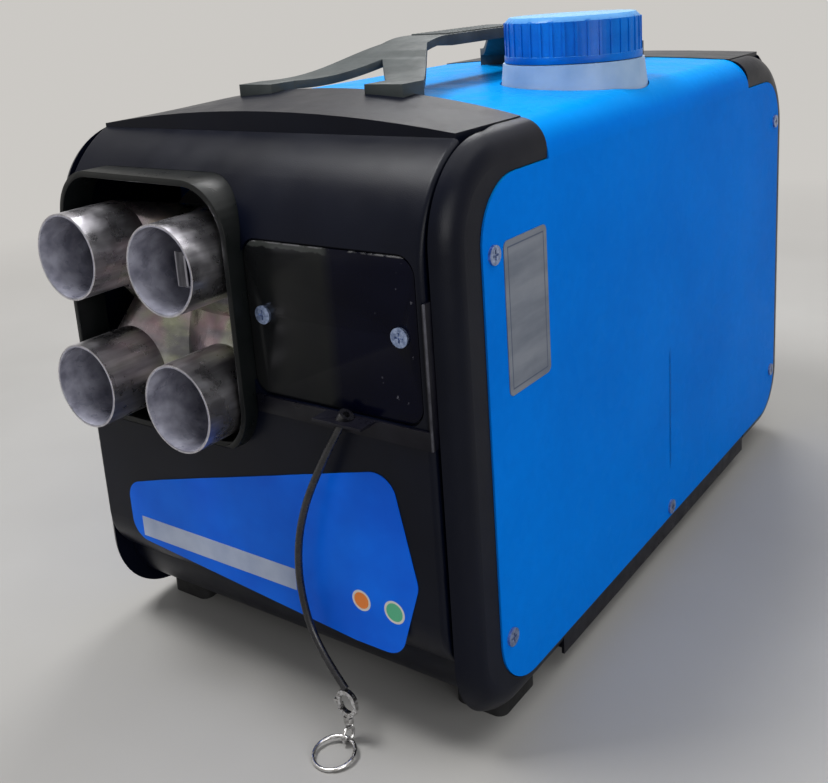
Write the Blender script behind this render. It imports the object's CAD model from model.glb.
from math import pi, radians

import bmesh
import bpy
from mathutils import Matrix, Vector


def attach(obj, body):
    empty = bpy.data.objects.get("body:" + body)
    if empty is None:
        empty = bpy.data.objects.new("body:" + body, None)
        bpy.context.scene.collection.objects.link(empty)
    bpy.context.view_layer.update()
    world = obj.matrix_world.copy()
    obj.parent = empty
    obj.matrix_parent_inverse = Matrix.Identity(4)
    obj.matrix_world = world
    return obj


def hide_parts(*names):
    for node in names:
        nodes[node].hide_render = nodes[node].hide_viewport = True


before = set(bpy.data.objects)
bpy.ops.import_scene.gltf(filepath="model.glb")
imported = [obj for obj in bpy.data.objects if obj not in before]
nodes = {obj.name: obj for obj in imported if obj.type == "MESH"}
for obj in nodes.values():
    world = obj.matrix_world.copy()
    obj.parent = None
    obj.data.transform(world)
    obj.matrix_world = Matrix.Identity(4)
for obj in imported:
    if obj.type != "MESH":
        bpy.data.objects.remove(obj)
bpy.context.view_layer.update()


# ---- The view
# A camera a little above the case and to the right of its front, as close as the photograph's.
# Its place, turn and lens were read from the straight edges of the case.
camera_place = (0.3362, -0.5169, 0.3295)
camera_turn, camera_dip, camera_roll = radians(36.10), radians(14.49), radians(-3.88)
camera_data = bpy.data.cameras.new("camera")
camera_data.lens = 45.51
camera_data.sensor_width = 36.0
camera_data.shift_x = -0.0070
camera_data.shift_y = -0.1615
camera_data.clip_start = 0.01
camera = bpy.data.objects.new("camera", camera_data)
bpy.context.scene.collection.objects.link(camera)
camera.matrix_world = (
    Matrix.Translation(camera_place)
    @ Matrix.Rotation(camera_turn, 4, "Z")
    @ Matrix.Rotation(pi / 2 - camera_dip, 4, "X")
    @ Matrix.Rotation(camera_roll, 4, "Z")
)
bpy.context.scene.camera = camera


# ---- Hand cord
# A limp round cord of black rubber, moulded through a bush in the cover's bracket.
# It hangs in a loose bow before the label and ends at the hook.
noise_low, noise_high = 0.3, 0.7      # nearly all of a noise lies between these


def new_finish(name, colour, roughness, metallic=0.0, ior=1.5):
    """A material with its tree and its shader."""
    material = bpy.data.materials.new(name)
    material.use_nodes = True
    tree = material.node_tree
    shader = tree.nodes["Principled BSDF"]
    shader.inputs["Base Color"].default_value = (*colour, 1)
    shader.inputs["Roughness"].default_value = roughness
    shader.inputs["Metallic"].default_value = metallic
    shader.inputs["IOR"].default_value = ior
    return material, tree, shader


def place_of(tree):
    """A point's place in the object's own space."""
    return tree.nodes.new("ShaderNodeTexCoord").outputs["Object"]


def grain(tree, scale, detail=3.0, stretch=(1, 1, 1)):
    """Noise laid in the object's own space, drawn out along an axis where asked."""
    mapping = tree.nodes.new("ShaderNodeMapping")
    mapping.inputs["Scale"].default_value = stretch
    noise = tree.nodes.new("ShaderNodeTexNoise")
    noise.inputs["Scale"].default_value = scale
    noise.inputs["Detail"].default_value = detail
    tree.links.new(place_of(tree), mapping.inputs["Vector"])
    tree.links.new(mapping.outputs["Vector"], noise.inputs["Vector"])
    return noise.outputs["Fac"]


def ramp(tree, value, low_colour, high_colour, low=0.35, high=0.65):
    """A value as a drift between two colours."""
    node = tree.nodes.new("ShaderNodeValToRGB")
    node.color_ramp.elements[0].position = low
    node.color_ramp.elements[0].color = (*low_colour, 1)
    node.color_ramp.elements[1].position = high
    node.color_ramp.elements[1].color = (*high_colour, 1)
    tree.links.new(value, node.inputs["Fac"])
    return node.outputs["Color"]


def span(tree, value, from_low, from_high, to_low, to_high):
    """A value mapped from one span to another, held at the ends."""
    node = tree.nodes.new("ShaderNodeMapRange")
    node.inputs["From Min"].default_value = from_low
    node.inputs["From Max"].default_value = from_high
    node.inputs["To Min"].default_value = to_low
    node.inputs["To Max"].default_value = to_high
    tree.links.new(value, node.inputs["Value"])
    return node.outputs["Result"]


def patchy_gloss(tree, shader, noise, at_low, at_high):
    """Roughness that follows a noise from one value to the other."""
    rough = span(tree, noise, noise_low, noise_high, at_low, at_high)
    tree.links.new(rough, shader.inputs["Roughness"])


def relief(tree, shader, value, depth, strength=0.5):
    """A value as a fine bump, over any bump made before it."""
    bump = tree.nodes.new("ShaderNodeBump")
    bump.inputs["Distance"].default_value = depth
    bump.inputs["Strength"].default_value = strength
    tree.links.new(value, bump.inputs["Height"])
    if shader.inputs["Normal"].links:
        tree.links.new(shader.inputs["Normal"].links[0].from_socket, bump.inputs["Normal"])
    tree.links.new(bump.outputs["Normal"], shader.inputs["Normal"])


def plain_detail(tree, shader, dark, light, rough, patches, skin, depth):
    """Colour drift, patchy gloss and a fine skin, for a plain moulded or painted surface."""
    drift = ramp(tree, grain(tree, patches, 5), dark, light)
    tree.links.new(drift, shader.inputs["Base Color"])
    patchy_gloss(tree, shader, grain(tree, patches * 2.7, 4), *rough)
    relief(tree, shader, grain(tree, skin, 2), depth, 0.35)


def dress(material, *names):
    """Gives CAD nodes their material."""
    for name in names:
        mesh = nodes[name].data
        mesh.materials.clear()
        mesh.materials.append(material)


def keep_piece(piece, material, body, slot, *replaced):
    """Links a finished piece, and says what it rides on and stands for."""
    bpy.context.scene.collection.objects.link(piece)
    piece.data.materials.clear()
    piece.data.materials.append(material)
    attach(piece, body)
    if replaced:
        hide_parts(*replaced)


cord_length, cord_thick = 0.1477, 0.0035
cord_points = [
    (0.0685, -0.2105, 0.1580), (0.0520, -0.2135, 0.1310), (0.0385, -0.2140, 0.1000),
    (0.0340, -0.2125, 0.0700), (0.0405, -0.2120, 0.0410), (0.0593, -0.2155, 0.0274),
]
cord_curve = bpy.data.curves.new("cord_of_hook", "CURVE")
cord_curve.dimensions = "3D"
cord_curve.bevel_depth = cord_thick / 2
cord_curve.bevel_resolution = 4
cord_curve.use_fill_caps = True
cord_curve.resolution_u = 24
cord_line = cord_curve.splines.new("NURBS")
cord_line.points.add(len(cord_points) - 1)
for knot, point in zip(cord_line.points, cord_points):
    knot.co = (*point, 1)
cord_line.order_u = 3
cord_line.use_endpoint_u = True
cord_rubber, tree, shader = new_finish("cord_rubber", (0.012, 0.012, 0.014), 0.32)
plain_detail(tree, shader, (0.004, 0.004, 0.006), (0.012, 0.012, 0.015),
             rough=(0.2, 0.42), patches=240, skin=1600, depth=0.0002)
hand_cord = bpy.data.objects.new("cord_of_hook", cord_curve)
keep_piece(hand_cord, cord_rubber, "case", "cord", "hand_cord")
dress(cord_rubber, "cord_gland")
on_cord = ("hook_body", "hook_gate", "hook_swivel", "link_ring", "split_ring")


# ---- Hook and rings
# A die-cast hook with a sprung gate and a swivel, hung on the cord's crimped end, and two wire
# rings. All are chromed, with dull worn patches.
chrome, tree, shader = new_finish("worn_chrome", (0.62, 0.62, 0.63), 0.16, 1.0)
pits = grain(tree, 700, 4)
plating = ramp(tree, pits, (0.36, 0.35, 0.34), (0.75, 0.75, 0.76))
tree.links.new(plating, shader.inputs["Base Color"])
patchy_gloss(tree, shader, pits, 0.34, 0.1)
relief(tree, shader, grain(tree, 300), 0.0002)
dress(chrome, *on_cord)


# ---- Painted sheet
# One steel sheet bent over the case and sprayed blue, with a faint orange peel, and gone paler
# on its top. A short vertical crease stands in the tank side.
def blend(tree, share, under, over):
    """One colour over another, by a share from 0 to 1."""
    node = tree.nodes.new("ShaderNodeMix")
    node.data_type = "RGBA"
    tree.links.new(share, node.inputs["Factor"])
    tree.links.new(under, node.inputs["A"])
    if isinstance(over, tuple):
        node.inputs["B"].default_value = (*over, 1)
    else:
        tree.links.new(over, node.inputs["B"])
    return node.outputs["Result"]


def reckon(tree, operation, *values):
    """A sum on values, each a node's output or a plain number."""
    node = tree.nodes.new("ShaderNodeMath")
    node.operation = operation
    for socket, value in zip(node.inputs, values):
        if isinstance(value, float):
            socket.default_value = value
        else:
            tree.links.new(value, socket)
    return node.outputs[0]


def both(tree, first, second):
    """The product of two values."""
    return reckon(tree, "MULTIPLY", first, second)


def away_from(tree, value, middle):
    """How far a value is from a middle, on either side."""
    return reckon(tree, "ABSOLUTE", reckon(tree, "SUBTRACT", value, middle))


def above(tree, value, edge, softness):
    """0 below an edge and 1 above it."""
    return span(tree, value, edge - softness, edge + softness, 0.0, 1.0)


def below(tree, value, edge, softness):
    """1 below an edge and 0 above it."""
    return span(tree, value, edge - softness, edge + softness, 1.0, 0.0)


def axes_of(tree, vector):
    """The x, y and z of a place or a direction."""
    axes = tree.nodes.new("ShaderNodeSeparateXYZ")
    tree.links.new(vector, axes.inputs["Vector"])
    return axes.outputs["X"], axes.outputs["Y"], axes.outputs["Z"]


def facing_up(tree, low, high):
    """0 on the sides and 1 on the top, by how far the surface faces up."""
    facing = tree.nodes.new("ShaderNodeNewGeometry").outputs["Normal"]
    return span(tree, axes_of(tree, facing)[2], low, high, 0.0, 1.0)


top_blue = (0.001, 0.235, 0.64)
crease_y, crease_low, crease_high = 0.0115, 0.053, 0.122
crease_half, crease_end, crease_depth = 0.0012, 0.003, 0.0016
tank_side_x = 0.1                     # the crease stands on this side only
case_blue, tree, shader = new_finish("case_blue", (0.0003, 0.165, 0.66), 0.3, 0.0, 1.04)
film = ramp(tree, grain(tree, 9, 5), (0.0002, 0.138, 0.59), (0.0004, 0.170, 0.69))
fade = ramp(tree, grain(tree, 160, 4), (0.0002, 0.124, 0.53), (0.0005, 0.176, 0.70), 0.2, 0.8)
film = blend(tree, span(tree, grain(tree, 35, 3), noise_low, noise_high, 0.15, 0.4), film, fade)
film = blend(tree, facing_up(tree, 0.35, 0.97), film, top_blue)
tree.links.new(film, shader.inputs["Base Color"])
patchy_gloss(tree, shader, grain(tree, 55, 4), 0.2, 0.34)
relief(tree, shader, grain(tree, 1400, 2), 0.00012, 0.25)
x, y, z = axes_of(tree, place_of(tree))
crease_span = both(tree, above(tree, z, crease_low, crease_end),
                   below(tree, z, crease_high, crease_end))
ridge = span(tree, away_from(tree, y, crease_y), 0.0, crease_half, 1.0, 0.0)
crease = both(tree, both(tree, ridge, crease_span), above(tree, x, tank_side_x, 0.005))
relief(tree, shader, crease, crease_depth, 1.0)
dress(case_blue, "case_sheet")


# ---- Moulded caps and panels
# Satin black plastic, injection moulded with a fine spark-eroded skin, which spreads the
# highlight on the rolls. The caps hold the sheet's ends and the panels close them.
cap_black, tree, shader = new_finish("cap_black", (0.002, 0.003, 0.007), 0.35, 0.0, 1.23)
plain_detail(tree, shader, (0.0006, 0.0014, 0.0058), (0.0018, 0.0028, 0.0084),
             rough=(0.28, 0.40), patches=24, skin=2200, depth=0.00016)
relief(tree, shader, grain(tree, 12, 4), 0.0004, 0.15)
dress(cap_black, "front_cap", "rear_cap", "front_panel", "rear_panel", "intake_grille")


# ---- Hood round the outlets
# The same plastic in a smoother, slightly greyer moulding, set in the front panel.
# Its front rim is softly rounded.
def softened(name, node, width, segments, angle=30.0):
    """A copy of a CAD node's mesh with its sharp edges rounded."""
    weld_distance, flat_angle = 0.000002, radians(0.5)
    mesh = nodes[node].data.copy()
    mesh.name = name
    shape = bmesh.new()
    shape.from_mesh(mesh)
    bmesh.ops.remove_doubles(shape, verts=shape.verts, dist=weld_distance)
    bmesh.ops.dissolve_limit(shape, angle_limit=flat_angle, verts=shape.verts, edges=shape.edges)
    bmesh.ops.recalc_face_normals(shape, faces=shape.faces)
    shape.to_mesh(mesh)
    shape.free()
    mesh.shade_smooth()
    piece = bpy.data.objects.new(name, mesh)
    rounding = piece.modifiers.new("rounding", "BEVEL")
    rounding.width = width
    rounding.segments = segments
    rounding.limit_method = "ANGLE"
    rounding.angle_limit = radians(angle)
    rounding.harden_normals = True
    return piece


hood_black, tree, shader = new_finish("hood_black", (0.004, 0.005, 0.005), 0.34, 0.0, 1.26)
plain_detail(tree, shader, (0.0025, 0.0035, 0.0038), (0.0060, 0.0070, 0.0072),
             rough=(0.26, 0.4), patches=40, skin=2000, depth=0.00015)
hood = softened("hood_of_outlets", "outlet_hood", width=0.0009, segments=3)
keep_piece(hood, hood_black, "case", "black_plastic", "outlet_hood")


# ---- Outlet pipes
# Four aluminium pipes pressed into one body: brushed round, greyed inside, heat-tinted between
# them. A small folded tongue is fixed to the wall inside the upper right one.
def reckon_vector(tree, operation, vector, other=None):
    """A sum on vectors; a length or a distance comes back as a value."""
    node = tree.nodes.new("ShaderNodeVectorMath")
    node.operation = operation
    tree.links.new(vector, node.inputs[0])
    if other:
        node.inputs[1].default_value = other
    return node.outputs["Value" if operation in ("LENGTH", "DISTANCE") else "Vector"]


def as_object(name, shape):
    """A finished bmesh as an object of its own."""
    mesh = bpy.data.meshes.new(name)
    shape.to_mesh(mesh)
    shape.free()
    return bpy.data.objects.new(name, mesh)


pipes_middle, pipe_offset = (-0.0465, 0.0, 0.1855), (0.03225, 0.0, 0.03225)
pipe_bore, bore_front_y, bore_back_y, pipe_root_y = 0.0203, -0.200, -0.190, -0.1990
pipe_metal, tree, shader = new_finish("pipe_metal", (0.5, 0.5, 0.51), 0.3, 0.92)
brushing = grain(tree, 300, 6, (1, 0.1, 1))
clouds = grain(tree, 70, 5)
streaks = span(tree, grain(tree, 75, 4, (0.3, 1, 1)), 0.45, 0.62, 0.0, 0.85)
bare = ramp(tree, brushing, (0.34, 0.33, 0.36), (0.74, 0.73, 0.77), 0.3, 0.7)
dull = ramp(tree, clouds, (0.17, 0.165, 0.20), (0.38, 0.37, 0.42))
heat = ramp(tree, grain(tree, 48, 2), (0.33, 0.19, 0.20), (0.27, 0.29, 0.16), 0.42, 0.58)
heat = blend(tree, streaks, heat, (0.05, 0.05, 0.06))
soot = ramp(tree, grain(tree, 120, 6), (0.17, 0.17, 0.22), (0.42, 0.42, 0.50), 0.33, 0.68)
y = axes_of(tree, place_of(tree))[1]
from_middle = reckon_vector(tree, "SUBTRACT", place_of(tree), pipes_middle)
from_axis = reckon_vector(tree, "SUBTRACT", reckon_vector(tree, "ABSOLUTE", from_middle), pipe_offset)
radius = reckon_vector(tree, "LENGTH", reckon_vector(tree, "MULTIPLY", from_axis, (1, 0, 1)))
in_bore = both(tree, below(tree, radius, pipe_bore, 0.0001),
               span(tree, y, bore_front_y, bore_back_y, 1.0, 0.4))
heated = both(tree, above(tree, y, pipe_root_y, 0.006), span(tree, clouds, 0.3, 0.6, 0.7, 1.0))
worn = blend(tree, span(tree, clouds, 0.32, 0.75, 0.0, 0.6), blend(tree, heated, bare, heat), dull)
tree.links.new(blend(tree, in_bore, worn, soot), shader.inputs["Base Color"])
tree.links.new(span(tree, in_bore, 0.0, 1.0, 0.95, 0.1), shader.inputs["Metallic"])
patchy_gloss(tree, shader, grain(tree, 110, 5), 0.2, 0.42)
relief(tree, shader, brushing, 0.0002, 0.4)
relief(tree, shader, grain(tree, 45, 2), 0.0012, 0.25)
dress(pipe_metal, "outlet_manifold", "heat_exchanger", "wheel_housing", "combustion_wheel")

tongue_slabs = [                      # size and middle of the blade and of its folded lip
    ((0.0142, 0.0010, 0.0160), (-0.0029, -0.2220, 0.2178)),
    ((0.0014, 0.0026, 0.0140), (-0.0026, -0.2224, 0.2178)),
]
tongue_end_x, tongue_face_y, bright_edge = -0.00915, -0.2232, (0.30, 0.30, 0.34)
tongue_shape = bmesh.new()
for size, middle in tongue_slabs:
    slab = bmesh.ops.create_cube(tongue_shape, size=1.0)["verts"]
    bmesh.ops.scale(tongue_shape, vec=size, verts=slab)
    bmesh.ops.translate(tongue_shape, vec=middle, verts=slab)
bmesh.ops.bevel(tongue_shape, geom=tongue_shape.edges[:], offset=0.0003, segments=2, profile=0.5,
                affect="EDGES", material=-1)
tongue_metal, tree, shader = new_finish("tongue_metal", (0.1, 0.1, 0.11), 0.34, 0.9)
x, y = axes_of(tree, place_of(tree))[:2]
tarnish = ramp(tree, grain(tree, 500, 4, (1, 1, 0.15)), (0.055, 0.055, 0.068), (0.12, 0.12, 0.14))
tarnish = blend(tree, below(tree, x, tongue_end_x, 0.00035), tarnish, bright_edge)
tarnish = blend(tree, below(tree, y, tongue_face_y, 0.0003), tarnish, bright_edge)
tree.links.new(tarnish, shader.inputs["Base Color"])
patchy_gloss(tree, shader, grain(tree, 400, 3), 0.26, 0.45)
keep_piece(as_object("pipe_tongue", tongue_shape), tongue_metal, "case", "aluminium")


# ---- Cover over the control bay
# A glossy black plate on two zinc-plated cross-head screws, dusty on its left part, its rim
# chipped to the bare sheet. It stands over a painted steel bracket with a rubbed outer edge.
dust_x, dust_lip_z, specks_x, rim_z = 0.0605, 0.2264, 0.085, 0.2284
gloss_black, tree, shader = new_finish("gloss_black", (0.002, 0.002, 0.005), 0.14, 0.0, 1.18)
x, _, z = axes_of(tree, place_of(tree))
smears = grain(tree, 30, 6)
paint = ramp(tree, smears, (0.0003, 0.0005, 0.0050), (0.0010, 0.0014, 0.0075))
dusty = both(tree, below(tree, x, dust_x, 0.0035),
             span(tree, smears, noise_low, noise_high, 0.6, 1.0))
paint = blend(tree, dusty, paint, (0.0105, 0.0112, 0.0110))
ragging = span(tree, grain(tree, 160, 5), noise_low, noise_high, -0.0009, 0.0009)
ragged_z = reckon(tree, "ADD", z, ragging)
dust_lip = both(tree, above(tree, ragged_z, dust_lip_z, 0.0003), below(tree, x, 0.060, 0.002))
paint = blend(tree, dust_lip, paint, (0.040, 0.043, 0.041))
specks = both(tree, above(tree, grain(tree, 330, 2), 0.73, 0.01), above(tree, x, specks_x, 0.006))
paint = blend(tree, specks, paint, (0.06, 0.06, 0.075))
chips = both(tree, above(tree, z, rim_z, 0.0002), above(tree, grain(tree, 130, 6), 0.52, 0.04))
tree.links.new(blend(tree, chips, paint, (0.13, 0.13, 0.135)), shader.inputs["Base Color"])
patchy_gloss(tree, shader, smears, 0.08, 0.24)
relief(tree, shader, grain(tree, 20, 2), 0.0006, 0.2)
relief(tree, shader, chips, 0.0002, 0.6)
plate = softened("cover_plate", "control_plate", width=0.0004, segments=2)
keep_piece(plate, gloss_black, "case", "gloss_black", "control_plate")
dress(gloss_black, "mains_inlet", "switch_frame", "rocker")

edge_x, edge_y = 0.1095, -0.20595     # inner and rear limits of the bracket's turned edge
bracket_paint, tree, shader = new_finish("bracket_paint", (0.003, 0.003, 0.006), 0.34, 0.0, 1.26)
plain_detail(tree, shader, (0.002, 0.002, 0.005), (0.006, 0.006, 0.010),
             rough=(0.26, 0.44), patches=60, skin=1200, depth=0.0001)
x, y = axes_of(tree, place_of(tree))[:2]
outer_edge = both(tree, above(tree, x, edge_x, 0.0003), below(tree, y, edge_y, 0.00025))
rubbed = both(tree, outer_edge, span(tree, grain(tree, 150, 4), 0.3, 0.65, 0.25, 1.0))
painted = shader.inputs["Base Color"].links[0].from_socket
tree.links.new(blend(tree, rubbed, painted, (0.085, 0.085, 0.10)), shader.inputs["Base Color"])
bracket = softened("cover_bracket", "plate_bracket", width=0.0005, segments=2)
keep_piece(bracket, bracket_paint, "case", "black_steel", "plate_bracket")
dress(bracket_paint, "base_plate", "core_stands")

zinc, tree, shader = new_finish("zinc", (0.35, 0.45, 0.65), 0.34, 0.9)
plain_detail(tree, shader, (0.15, 0.20, 0.34), (0.36, 0.44, 0.64),
             rough=(0.26, 0.5), patches=600, skin=900, depth=0.0001)
dress(zinc, "plate_screws", "side_screws", "case_screws", "pipe_clamps")


# ---- Labels
# Printed film stuck on the front and left blank: a blue wedge with a white strip and two plain
# discs. A silver plate with a thin border line is stuck on the blue side.
disc_rim, rim_white = 0.0011, (0.62, 0.60, 0.55)
discs = [                             # middle x and z, radius, ink
    ((0.0648, 0.0687), 0.0052, (0.75, 0.22, 0.05)),
    ((0.0830, 0.0685), 0.0056, (0.10, 0.42, 0.24)),
]
label_blue, tree, shader = new_finish("label_blue", (0.001, 0.09, 0.55), 0.34, 0.0, 1.2)
print_film = ramp(tree, grain(tree, 22, 4), (0.0005, 0.105, 0.70), (0.001, 0.150, 0.84))
flat = reckon_vector(tree, "MULTIPLY", place_of(tree), (1, 0, 1))
for (disc_x, disc_z), disc_radius, ink in discs:
    away = reckon_vector(tree, "DISTANCE", flat, (disc_x, 0, disc_z))
    outside = disc_radius - 0.0001
    print_film = blend(tree, below(tree, away, outside, 0.0001), print_film, rim_white)
    print_film = blend(tree, below(tree, away, outside - disc_rim, 0.0001), print_film, ink)
tree.links.new(print_film, shader.inputs["Base Color"])
patchy_gloss(tree, shader, grain(tree, 70, 4), 0.28, 0.42)
relief(tree, shader, grain(tree, 500, 2), 0.00005, 0.3)
dress(label_blue, "front_label")

strip_white, tree, shader = new_finish("strip_white", (0.6, 0.64, 0.72), 0.45, 0.0, 1.3)
plain_detail(tree, shader, (0.34, 0.40, 0.56), (0.46, 0.52, 0.66),
             rough=(0.4, 0.55), patches=60, skin=900, depth=0.00005)
dress(strip_white, "label_strip")


plate_y, plate_z, border = -0.1445, 0.1928, 0.0006
border_half_width, border_half_height = 0.01535, 0.03135


def in_frame(tree, y, z, half_width, half_height):
    """1 inside a rectangle about the plate's middle and 0 outside it."""
    return both(tree, below(tree, away_from(tree, y, plate_y), half_width, 0.00015),
                below(tree, away_from(tree, z, plate_z), half_height, 0.00015))


plate_silver, tree, shader = new_finish("plate_silver", (0.2, 0.22, 0.26), 0.38, 0.3, 1.35)
silver = ramp(tree, grain(tree, 120, 5, (1, 0.15, 1)), (0.125, 0.145, 0.185), (0.19, 0.21, 0.25))
y, z = axes_of(tree, place_of(tree))[1:]
outer = in_frame(tree, y, z, border_half_width, border_half_height)
inner = in_frame(tree, y, z, border_half_width - border, border_half_height - border)
border_line = both(tree, outer, reckon(tree, "SUBTRACT", 1.0, inner))
tree.links.new(blend(tree, border_line, silver, (0.05, 0.07, 0.12)), shader.inputs["Base Color"])
patchy_gloss(tree, shader, grain(tree, 160, 4), 0.32, 0.48)
dress(plate_silver, "rating_plate")


# ---- Handle
# A forked bar moulded in dark grey plastic. Its feet are screwed down through the visor and the
# sheet, its arms are thinner than the grip, and low ribs run across the grip.
grip_y, grip_top, grip_half, grip_thick = 0.007, 0.3035, 0.041, 0.006
arm_ends, arm_thick, taper = (-0.1135, 0.1005), 0.0042, 0.012
station, stations = 0.0025, 50        # cuts across the bar, and how many on each side of the grip
kept_share = 0.6                      # of the thickness, below the top, that stays as it is
handle_grey, tree, shader = new_finish("handle_grey", (0.04, 0.046, 0.048), 0.52, 0.0, 1.28)
plain_detail(tree, shader, (0.030, 0.036, 0.037), (0.052, 0.060, 0.061),
             rough=(0.48, 0.62), patches=50, skin=1800, depth=0.0002)
bar = softened("carry_handle", "handle", width=0.0011, segments=3, angle=35.0)
arms = bmesh.new()
arms.from_mesh(bar.data)
tops = {}
for count in range(-stations, stations + 1):
    cut_y = grip_y + station * count
    bmesh.ops.bisect_plane(arms, geom=arms.verts[:] + arms.edges[:] + arms.faces[:],
                           plane_co=(0, cut_y, 0), plane_no=(0, 1, 0), dist=0.0000005)
    heights = [vert.co.z for vert in arms.verts if abs(vert.co.y - cut_y) < 0.000002]
    if heights:
        tops[count] = max(heights)
for vert in arms.verts:
    along = (vert.co.y - grip_y) / station
    before = int(along // 1)
    if not arm_ends[0] < vert.co.y < arm_ends[1] or before not in tops or before + 1 not in tops:
        continue
    top = tops[before] + (tops[before + 1] - tops[before]) * (along - before)
    share = min(max((abs(vert.co.y - grip_y) - grip_half) / taper, 0.0), 1.0)
    thick = grip_thick + (arm_thick - grip_thick) * share
    if vert.co.z < top - thick * kept_share:
        vert.co.z = max(vert.co.z, top - thick)
arms.to_mesh(bar.data)
arms.free()
keep_piece(bar, handle_grey, "case", "grey_plastic", "handle")

rib_size, rib_pitch, rib_count = (0.025, 0.0020, 0.0016), 0.0043, 19
first_rib_y = grip_y - rib_pitch * (rib_count - 1) / 2
ribs = bmesh.new()
bmesh.ops.create_cube(ribs, size=1.0)
bmesh.ops.scale(ribs, vec=rib_size, verts=ribs.verts)
bmesh.ops.bevel(ribs, geom=ribs.edges[:], offset=0.0005, segments=2, profile=0.5,
                affect="EDGES", material=-1)
bmesh.ops.translate(ribs, vec=(0, first_rib_y, grip_top), verts=ribs.verts)
one_rib = ribs.verts[:] + ribs.edges[:] + ribs.faces[:]
for count in range(1, rib_count):
    copied = bmesh.ops.duplicate(ribs, geom=one_rib)["geom"]
    moved = [part for part in copied if isinstance(part, bmesh.types.BMVert)]
    bmesh.ops.translate(ribs, vec=(0, rib_pitch * count, 0), verts=moved)
keep_piece(as_object("grip_ribs", ribs), handle_grey, "case", "grey_plastic")


# ---- Tank and cap
# Blown white polyethylene that lets a little light in, and a moulded blue screw cap that has
# gone paler on its top.
tank_white, tree, shader = new_finish("tank_white", (0.3, 0.4, 0.55), 0.42, 0.0, 1.4)
plain_detail(tree, shader, (0.22, 0.34, 0.52), (0.32, 0.44, 0.60),
             rough=(0.34, 0.5), patches=40, skin=300, depth=0.0002)
shader.inputs["Subsurface Weight"].default_value = 0.25
shader.inputs["Subsurface Radius"].default_value = (0.004, 0.004, 0.005)
dress(tank_white, "fuel_tank")
pale_top = (0.13, 0.36, 0.60)
cap_blue, tree, shader = new_finish("cap_blue", (0.002, 0.13, 0.55), 0.34, 0.0, 1.22)
moulded = ramp(tree, grain(tree, 60, 5), (0.0006, 0.095, 0.43), (0.0016, 0.14, 0.56))
moulded = blend(tree, facing_up(tree, 0.4, 0.95), moulded, pale_top)
tree.links.new(moulded, shader.inputs["Base Color"])
patchy_gloss(tree, shader, grain(tree, 160, 4), 0.22, 0.38)
relief(tree, shader, grain(tree, 900, 2), 0.00015, 0.35)
screw_cap = softened("tank_screw_cap", "fuel_cap", width=0.0007, segments=3, angle=40.0)
keep_piece(screw_cap, cap_blue, "cap", "blue_plastic", "fuel_cap")


# ---- Rubber pieces
# Feet, seals, grommets, clips and cable sheaths, moulded or drawn in matt black rubber with a
# dusty bloom.
rubber_black, tree, shader = new_finish("rubber_black", (0.012, 0.012, 0.013), 0.7, 0.0, 1.35)
plain_detail(tree, shader, (0.006, 0.006, 0.007), (0.018, 0.018, 0.019),
             rough=(0.6, 0.8), patches=90, skin=1500, depth=0.0002)
dress(rubber_black, "feet", "cap_seal", "loom_grommet", "line_clips", "wiring_loom", "mains_harness")


# ---- Inside the case
# The burner, blower, pump, fuel line, power supply and board, hidden by the covers.
# They are steel, turned brass, moulded plastic, hose, a clear filter and a green board.
plain_steel, tree, shader = new_finish("plain_steel", (0.4, 0.4, 0.41), 0.36, 1.0)
plain_detail(tree, shader, (0.3, 0.3, 0.31), (0.5, 0.5, 0.5),
             rough=(0.28, 0.5), patches=200, skin=600, depth=0.0001)
dress(plain_steel, "burner", "glow_plug", "blower_motor", "motor_shaft", "exhaust_pipe", "pump_body",
      "pump_plunger", "fuel_nipple")
supply_steel, tree, shader = new_finish("supply_steel", (0.3, 0.31, 0.33), 0.4, 0.9)
plain_detail(tree, shader, (0.24, 0.25, 0.27), (0.36, 0.37, 0.39),
             rough=(0.32, 0.48), patches=90, skin=700, depth=0.0001)
dress(supply_steel, "power_supply")
inner_plastic, tree, shader = new_finish("inner_plastic", (0.02, 0.02, 0.022), 0.5, 0.0, 1.45)
plain_detail(tree, shader, (0.010, 0.010, 0.012), (0.022, 0.022, 0.025),
             rough=(0.42, 0.6), patches=70, skin=1500, depth=0.0002)
dress(inner_plastic, "duct_upper", "duct_lower", "air_fan", "motor_carrier", "intake_pipe")
turned_brass, tree, shader = new_finish("turned_brass", (0.6, 0.42, 0.16), 0.28, 1.0)
plain_detail(tree, shader, (0.5, 0.34, 0.12), (0.7, 0.5, 0.22),
             rough=(0.2, 0.4), patches=400, skin=900, depth=0.0001)
dress(turned_brass, "tank_nipple", "heat_sensor")
board_green, tree, shader = new_finish("board_green", (0.02, 0.16, 0.06), 0.4)
plain_detail(tree, shader, (0.012, 0.11, 0.04), (0.03, 0.2, 0.08),
             rough=(0.3, 0.5), patches=300, skin=800, depth=0.0001)
dress(board_green, "control_board")
hose_green, tree, shader = new_finish("hose_green", (0.05, 0.16, 0.06), 0.4)
plain_detail(tree, shader, (0.04, 0.13, 0.05), (0.07, 0.2, 0.09),
             rough=(0.32, 0.5), patches=120, skin=900, depth=0.0001)
dress(hose_green, "fuel_hoses")
filter_clear, tree, shader = new_finish("filter_clear", (0.75, 0.74, 0.66), 0.25)
plain_detail(tree, shader, (0.66, 0.65, 0.56), (0.8, 0.79, 0.72),
             rough=(0.18, 0.35), patches=90, skin=500, depth=0.0001)
dress(filter_clear, "fuel_filter")


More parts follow.
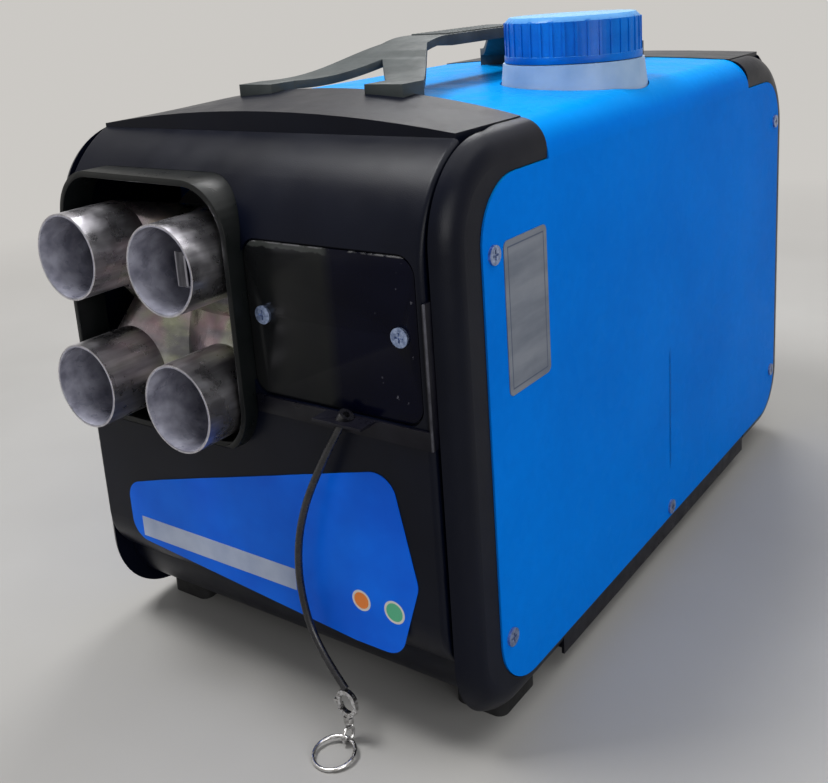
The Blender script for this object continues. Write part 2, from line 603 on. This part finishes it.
# ---- Floor, backdrop and light
# A plain pale grey floor that fades into a plain backdrop, and four soft lamps: high left,
# behind, overhead and right.
def seen_rays(tree):
    """1 for what the camera sees, straight, in gloss or through glass, and 0 for light."""
    rays = tree.nodes.new("ShaderNodeLightPath")
    seen = reckon(tree, "MAXIMUM", rays.outputs["Is Camera Ray"], rays.outputs["Is Glossy Ray"])
    return reckon(tree, "MAXIMUM", seen, rays.outputs["Is Transmission Ray"])


backdrop_colour, fade_from, fade_to = (0.60, 0.582, 0.555), 0.45, 1.15
floor_shape = bmesh.new()
bmesh.ops.create_grid(floor_shape, x_segments=1, y_segments=1, size=4.0)
floor = as_object("floor", floor_shape)
bpy.context.scene.collection.objects.link(floor)
floor_paint, tree, shader = new_finish("floor_paint", (0.3, 0.3, 0.3), 0.6, 0.0, 1.3)
near_floor = ramp(tree, grain(tree, 3, 4), (0.300, 0.292, 0.280), (0.345, 0.337, 0.325))
tree.links.new(near_floor, shader.inputs["Base Color"])
reach = reckon_vector(tree, "LENGTH", place_of(tree))
far = both(tree, span(tree, reach, fade_from, fade_to, 0.0, 1.0), seen_rays(tree))
haze = tree.nodes.new("ShaderNodeEmission")
haze.inputs["Color"].default_value = (*backdrop_colour, 1)
joined = tree.nodes.new("ShaderNodeMixShader")
tree.links.new(far, joined.inputs[0])
tree.links.new(shader.outputs[0], joined.inputs[1])
tree.links.new(haze.outputs[0], joined.inputs[2])
tree.links.new(joined.outputs[0], tree.nodes["Material Output"].inputs["Surface"])
floor.data.materials.append(floor_paint)

world = bpy.data.worlds.new("studio")
bpy.context.scene.world = world
world.use_nodes = True
tree = world.node_tree
ambient = tree.nodes["Background"]
ambient.inputs["Color"].default_value = (0.95, 0.97, 1.0, 1)
ambient.inputs["Strength"].default_value = 0.34
backdrop = tree.nodes.new("ShaderNodeBackground")
backdrop.inputs["Color"].default_value = (*backdrop_colour, 1)
choice = tree.nodes.new("ShaderNodeMixShader")
tree.links.new(seen_rays(tree), choice.inputs[0])
tree.links.new(ambient.outputs[0], choice.inputs[1])
tree.links.new(backdrop.outputs[0], choice.inputs[2])
tree.links.new(choice.outputs[0], tree.nodes["World Output"].inputs["Surface"])

lamps = [                             # name, place, aimed at, width, watts
    ("lamp_high_left", (-0.42, -0.42, 1.35), (0, -0.1, 0.2), 0.45, 16),
    ("lamp_behind", (-0.45, 1.00, 1.35), (0, 0, 0.2), 0.6, 14),
    ("lamp_top", (0.45, 0.25, 1.5), (0.1, 0, 0.1), 1.4, 11),
    ("lamp_right", (1.35, -0.75, 0.55), (0.1, -0.05, 0.15), 0.8, 8),
]
for name, spot, target, width, watts in lamps:
    lamp_data = bpy.data.lights.new(name, "AREA")
    lamp_data.size = width
    lamp_data.energy = watts
    lamp = bpy.data.objects.new(name, lamp_data)
    bpy.context.scene.collection.objects.link(lamp)
    aim = Vector(target) - Vector(spot)
    lamp.matrix_world = Matrix.Translation(spot) @ aim.to_track_quat("-Z", "Y").to_matrix().to_4x4()
bpy.context.scene.view_settings.view_transform = "Standard"
